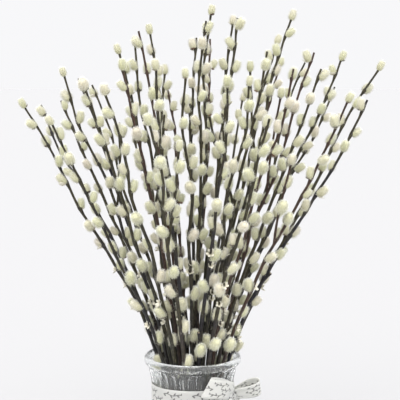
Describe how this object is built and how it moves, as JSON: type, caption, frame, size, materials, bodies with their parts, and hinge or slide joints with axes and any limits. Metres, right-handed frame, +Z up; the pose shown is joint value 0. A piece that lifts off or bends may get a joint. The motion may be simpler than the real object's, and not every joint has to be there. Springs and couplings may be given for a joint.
{
  "type": "willow branches in a vase",
  "caption": "Dried pussy willow branches full of soft catkins, fanned out of a flared clear glass vase with a ribbon bow tied round its neck.",
  "frame": {"origin": "middle of the flat underside of the vase's foot", "axes": "+Z up along the vase's axis; the picture's viewer looks along +Y, with +X to the right"},
  "size_m": [0.3975, 0.3093, 0.5762],
  "materials": {
    "bark": "dull dark bark",
    "catkin": "soft silky fur",
    "bud_scale": "thin papery husk",
    "glass": "clear polished",
    "ribbon": "woven cotton tape"
  },
  "bodies": {
    "root": {"branch_01": "bark", "branch_02": "bark", "branch_03": "bark", "branch_04": "bark", "branch_05": "bark", "branch_06": "bark", "branch_07": "bark", "branch_08": "bark", "branch_09": "bark", "branch_10": "bark", "branch_11": "bark", "branch_12": "bark", "branch_13": "bark", "branch_14": "bark", "branch_15": "bark", "branch_16": "bark", "branch_17": "bark", "branch_18": "bark", "branch_19": "bark", "branch_20": "bark", "branch_21": "bark", "branch_22": "bark", "branch_23": "bark", "branch_24": "bark", "branch_25": "bark", "branch_26": "bark", "branch_27": "bark", "branch_28": "bark", "branch_29": "bark", "branch_30": "bark", "branch_31": "bark", "branch_32": "bark", "branch_33": "bark", "branch_34": "bark", "branch_35": "bark", "branch_36": "bark", "branch_37": "bark", "branch_38": "bark", "branch_39": "bark", "branch_40": "bark", "branch_41": "bark", "branch_42": "bark", "vase": "glass", "ribbon": "ribbon"}
  },
  "joints": []
}
